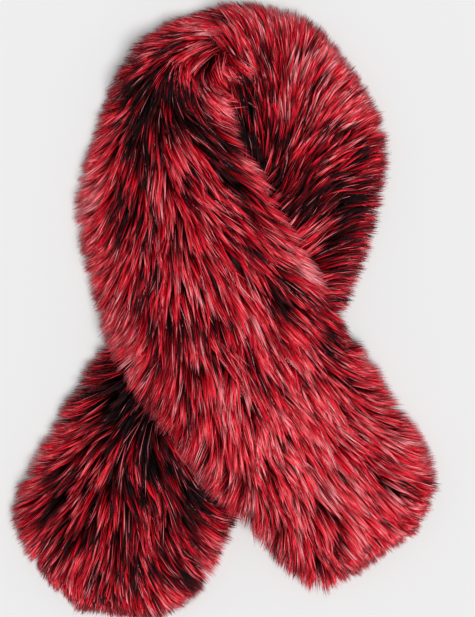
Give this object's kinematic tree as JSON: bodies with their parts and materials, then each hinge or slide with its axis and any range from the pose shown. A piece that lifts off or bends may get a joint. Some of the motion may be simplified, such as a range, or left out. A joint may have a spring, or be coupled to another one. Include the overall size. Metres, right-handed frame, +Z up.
{
  "type": "fur collar stole",
  "caption": "Long-haired fur collar stole, a soft band laid flat in a loop with its front end crossed over its back end.",
  "frame": {"origin": "middle of the floor area that the laid stole covers, on the floor", "axes": "+Z up from the floor, +Y from the crossed ends towards the loop that goes round the neck, +X towards the neck stretch"},
  "size_m": [0.3443, 0.4947, 0.0717],
  "materials": {
    "front_fur": "long glossy guard hair, crimson with dark roots",
    "neck_fur": "long glossy guard hair, crimson with dark roots",
    "tail_fur": "long glossy guard hair, deep red with black patches",
    "hide": "dyed suede flesh side, matt"
  },
  "bodies": {
    "root": {"front_stretch": "front_fur", "neck_stretch": "neck_fur", "tail_stretch": "tail_fur"}
  },
  "joints": []
}
